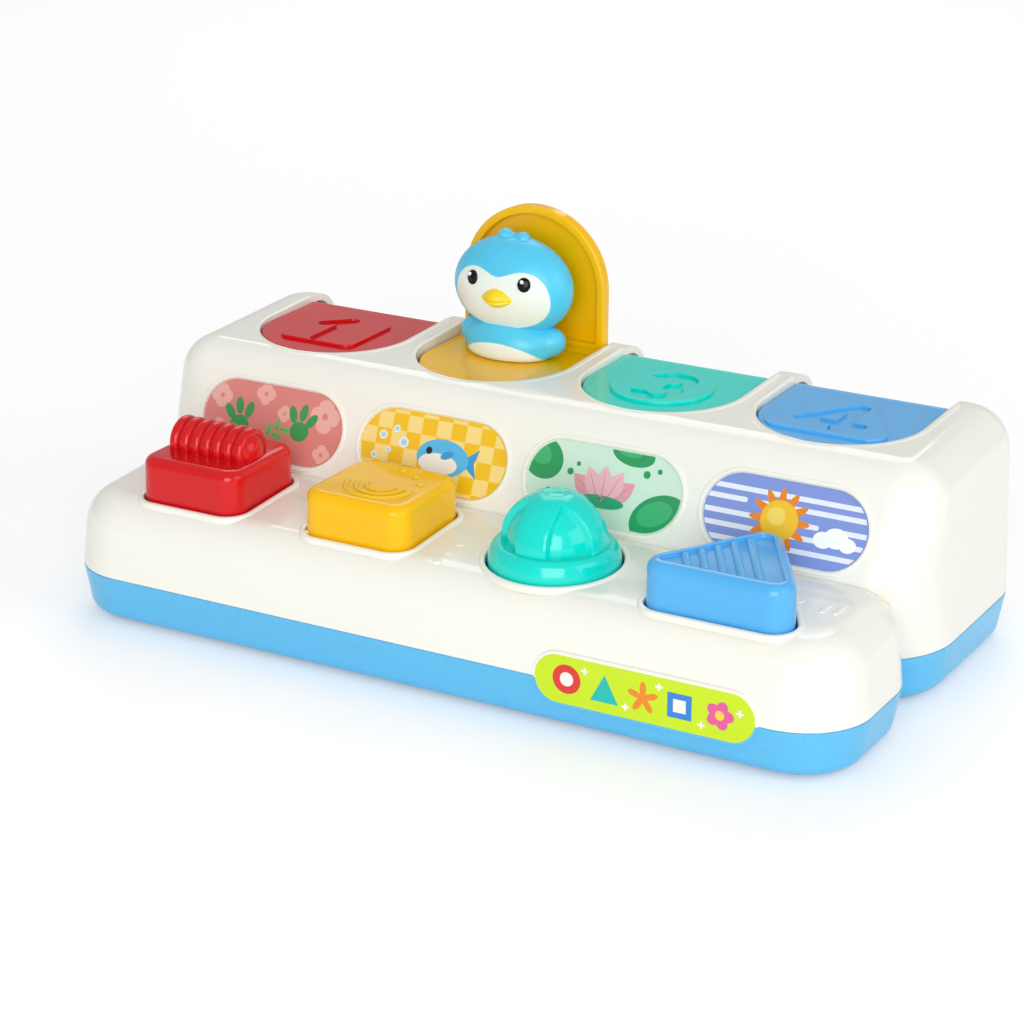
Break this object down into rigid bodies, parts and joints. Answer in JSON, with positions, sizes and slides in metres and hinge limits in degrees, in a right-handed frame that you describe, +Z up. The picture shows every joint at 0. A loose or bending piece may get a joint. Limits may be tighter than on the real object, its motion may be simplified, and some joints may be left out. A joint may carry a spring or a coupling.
{
  "type": "pop up animal toy",
  "caption": "Long two-step toy case with hinged flaps that stand animals up and press buttons of different shapes in front of them.",
  "frame": {"origin": "centre of the outer box in plan, on the ground", "axes": "+X along the toy to the viewer's right, -Y towards the child, where the buttons are, +Z up"},
  "size_m": [0.296, 0.162, 0.1325],
  "materials": {
    "base_blue": "glossy moulded",
    "white_shell": "glossy moulded",
    "white_inner": "plain moulded",
    "rubber_foot": "matt",
    "steel": "bright zinc-plated",
    "red_plastic": "glossy moulded",
    "yellow_plastic": "glossy moulded",
    "teal_plastic": "glossy moulded",
    "blue_plastic": "glossy moulded",
    "dinosaur_green": "satin moulded",
    "dinosaur_pale": "satin moulded",
    "penguin_blue": "satin moulded",
    "hippo_pink": "satin moulded",
    "cream_plastic": "satin moulded",
    "orange_plastic": "satin moulded",
    "label_red": "printed, satin film",
    "label_yellow": "printed, satin film",
    "label_teal": "printed, satin film",
    "label_blue": "printed, satin film",
    "label_lime": "printed, satin film"
  },
  "bodies": {
    "housing": {"base_tray": "base_blue", "housing": "white_shell", "hinge_rack": "white_inner", "control_plate": "white_inner", "rubber_feet": "rubber_foot", "case_screws": "steel", "pin_red": "steel", "pin_yellow": "steel", "pin_teal": "steel", "pin_blue": "steel", "flap_spring_red": "steel", "flap_spring_yellow": "steel", "flap_spring_teal": "steel", "flap_spring_blue": "steel", "button_spring_red": "steel", "button_spring_yellow": "steel", "button_spring_teal": "steel", "button_spring_blue": "steel", "label_red": "label_red", "label_yellow": "label_yellow", "label_teal": "label_teal", "label_blue": "label_blue", "label_front": "label_lime"},
    "flap_red": {"flap_red": "red_plastic", "dinosaur_body": "dinosaur_green", "dinosaur_head": "dinosaur_green", "dinosaur_muzzle": "dinosaur_pale", "figure_screw_red": "steel"},
    "flap_yellow": {"flap_yellow": "yellow_plastic", "penguin_body": "penguin_blue", "penguin_head": "penguin_blue", "penguin_beak": "yellow_plastic", "figure_screw_yellow": "steel"},
    "flap_teal": {"flap_teal": "teal_plastic", "hippo_body": "hippo_pink", "hippo_head": "hippo_pink", "hippo_muzzle": "cream_plastic", "figure_screw_teal": "steel"},
    "flap_blue": {"flap_blue": "blue_plastic", "lion_body": "yellow_plastic", "lion_mane": "orange_plastic", "lion_head": "yellow_plastic", "figure_screw_blue": "steel"},
    "button_red": {"button_red": "red_plastic", "release_bar_red": "white_inner", "bar_screw_red": "steel"},
    "button_yellow": {"button_yellow": "yellow_plastic", "release_bar_yellow": "white_inner", "bar_screw_yellow": "steel"},
    "button_teal": {"button_teal": "teal_plastic", "release_bar_teal": "white_inner", "bar_screw_teal": "steel"},
    "button_blue": {"button_blue": "blue_plastic", "release_bar_blue": "white_inner", "bar_screw_blue": "steel"}
  },
  "joints": [
    {"name": "flap_red_swing", "type": "hinge", "parent": "housing", "child": "flap_red", "pos_m": [-0.099, 0.054, 0.0785], "axis": [-1, 0, 0], "range_deg": [0, 90]},
    {"name": "flap_yellow_swing", "type": "hinge", "parent": "housing", "child": "flap_yellow", "pos_m": [-0.033, 0.054, 0.0785], "axis": [1, 0, 0], "range_deg": [0, 90], "stiffness_Nm_per_rad": 0.02, "springref_deg": -45.84},
    {"name": "flap_teal_swing", "type": "hinge", "parent": "housing", "child": "flap_teal", "pos_m": [0.033, 0.054, 0.0785], "axis": [-1, 0, 0], "range_deg": [0, 90]},
    {"name": "flap_blue_swing", "type": "hinge", "parent": "housing", "child": "flap_blue", "pos_m": [0.099, 0.054, 0.0785], "axis": [-1, 0, 0], "range_deg": [0, 90]},
    {"name": "button_red_press", "type": "slide", "parent": "housing", "child": "button_red", "axis": [0, 0, -1], "range_m": [0, 0.006], "stiffness_N_per_m": 150, "springref_m": -0.01, "deforming": ["button_spring_red"]},
    {"name": "button_yellow_press", "type": "slide", "parent": "housing", "child": "button_yellow", "axis": [0, 0, -1], "range_m": [0, 0.006], "stiffness_N_per_m": 150, "springref_m": -0.01, "deforming": ["button_spring_yellow"]},
    {"name": "button_teal_press", "type": "slide", "parent": "housing", "child": "button_teal", "axis": [0, 0, -1], "range_m": [0, 0.006], "stiffness_N_per_m": 150, "springref_m": -0.01, "deforming": ["button_spring_teal"]},
    {"name": "button_blue_press", "type": "slide", "parent": "housing", "child": "button_blue", "axis": [0, 0, -1], "range_m": [0, 0.006], "stiffness_N_per_m": 150, "springref_m": -0.01, "deforming": ["button_spring_blue"]}
  ]
}
